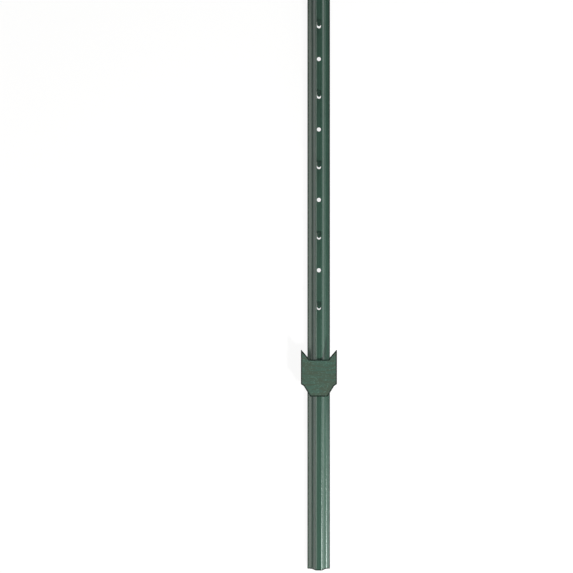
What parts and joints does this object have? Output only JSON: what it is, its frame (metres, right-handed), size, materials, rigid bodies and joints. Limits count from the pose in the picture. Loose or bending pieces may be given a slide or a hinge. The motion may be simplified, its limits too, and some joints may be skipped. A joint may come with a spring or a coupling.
{
  "type": "fence post",
  "caption": "Light-duty roll-formed steel U fence post in dark green enamel, with lanced wire lugs, tie holes and a welded anchor plate.",
  "frame": {"origin": "bottom centre of the bounding box, on the floor under the lips of the two flanges", "axes": "+Y along the post from its ground end to its top end, +Z out of the crown on the fence side, +X across the section"},
  "size_m": [0.065, 1.524, 0.0266],
  "materials": {
    "post_enamel": "satin",
    "plate_enamel": "satin"
  },
  "bodies": {
    "root": {"u_post": "post_enamel", "anchor_plate": "plate_enamel"}
  },
  "joints": []
}
